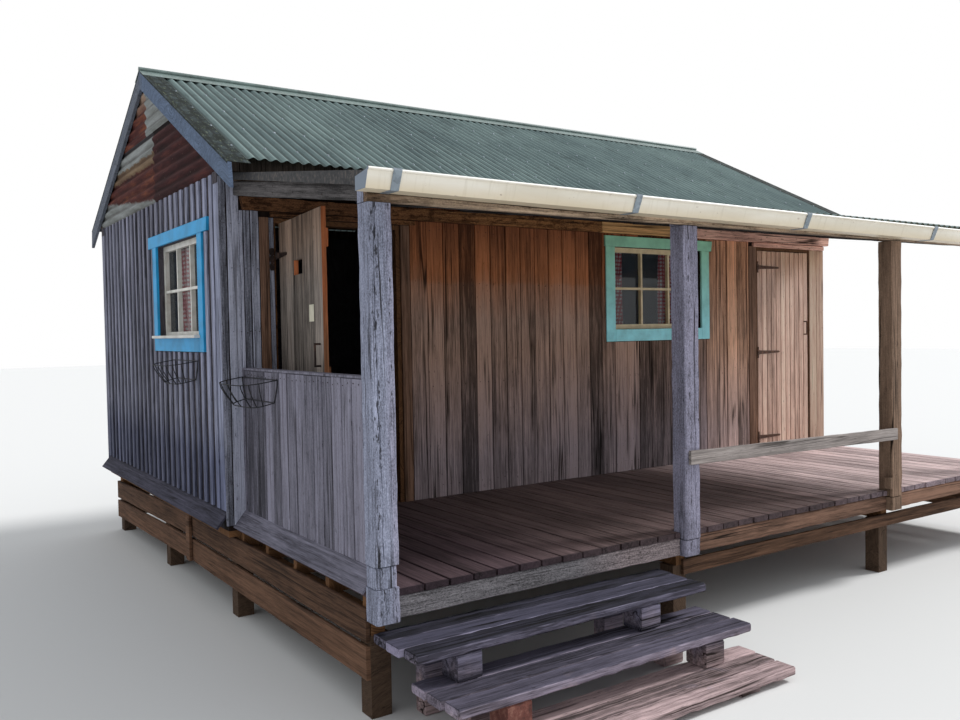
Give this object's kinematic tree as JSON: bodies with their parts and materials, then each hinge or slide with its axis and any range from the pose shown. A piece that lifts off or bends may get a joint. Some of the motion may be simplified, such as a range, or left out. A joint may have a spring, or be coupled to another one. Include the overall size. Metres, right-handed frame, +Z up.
{
  "type": "shepherds hut",
  "caption": "Small boarded hut on stumps with a gabled corrugated iron roof, a boarded veranda under a lower iron roof, plank doors, small pane windows and sleeper steps.",
  "frame": {"origin": "middle of the footprint, on the ground under the stumps and the step packers", "axes": "+X along the front wall to the right as seen from the front, +Y from the veranda towards the back wall, +Z up"},
  "size_m": [6.53, 6.6768, 4.0538],
  "materials": {
    "front_boards": "weathered, rough",
    "grey_boards": "weathered, rough",
    "grey_timber": "weathered, rough",
    "frame_timber": "rough sawn",
    "stump_timber": "rough sawn",
    "floor_timber": "worn",
    "deck_timber": "worn, matt",
    "plinth_timber": "rough sawn",
    "front_door_boards": "weathered",
    "store_door_boards": "weathered",
    "roof_iron": "faded, matt",
    "gable_iron": "rusted, matt",
    "galvanised_iron": "dull",
    "cream_paint": "faded, matt",
    "green_paint": "painted",
    "blue_paint": "painted",
    "window_glass": "clear",
    "dark_iron": "rough"
  },
  "bodies": {
    "hut": {"floor_stumps": "stump_timber", "floor_bearers": "frame_timber", "floor_joists": "frame_timber", "floor_boards": "floor_timber", "plinth_boards": "plinth_timber", "front_wall_left": "front_boards", "front_wall_middle": "front_boards", "front_wall_right": "front_boards", "door_lintels": "front_boards", "left_wall": "grey_boards", "right_wall": "grey_boards", "back_wall": "grey_boards", "wall_plates": "frame_timber", "rafters_front": "frame_timber", "rafters_back": "frame_timber", "ridge_board": "frame_timber", "roof_battens_front": "frame_timber", "roof_battens_back": "frame_timber", "roof_sheets_front": "roof_iron", "roof_sheets_back": "roof_iron", "ridge_cap": "galvanised_iron", "verge_flashings": "roof_iron", "bargeboards": "grey_timber", "eave_boards": "grey_timber", "gable_sheets_left": "gable_iron", "gable_sheets_right": "gable_iron", "veranda_ledger": "frame_timber", "veranda_rafters": "grey_timber", "veranda_battens": "grey_timber", "veranda_roof_sheets": "roof_iron", "veranda_beam": "grey_timber", "gutter": "cream_paint", "gutter_straps": "galvanised_iron", "veranda_posts": "grey_timber", "post_packers": "grey_timber", "deck_boards": "deck_timber", "deck_joists": "frame_timber", "deck_bearers": "frame_timber", "deck_front_beam": "grey_timber", "half_wall_left": "grey_boards", "veranda_rails": "grey_timber", "drip_boards": "grey_timber", "step_top": "grey_timber", "step_middle": "grey_timber", "step_bottom": "grey_timber", "step_blocks": "grey_timber", "front_window_trim": "green_paint", "end_window_trims": "blue_paint", "window_sashes": "cream_paint", "window_glass": "window_glass", "front_door_frame": "front_boards", "store_door_frame": "front_boards"},
    "front_door_leaf": {"front_door": "front_door_boards", "front_door_iron": "dark_iron"},
    "store_door_leaf": {"store_door": "store_door_boards", "store_door_iron": "dark_iron"}
  },
  "joints": [
    {"name": "front_door_hinge", "type": "hinge", "parent": "hut", "child": "front_door_leaf", "pos_m": [-2.813, -0.56394, 0.641], "axis": [0, 0, 1], "range_deg": [-4, 96]},
    {"name": "store_door_hinge", "type": "hinge", "parent": "hut", "child": "store_door_leaf", "pos_m": [2.127, -0.56394, 0.641], "axis": [0, 0, -1], "range_deg": [0, 105]}
  ]
}
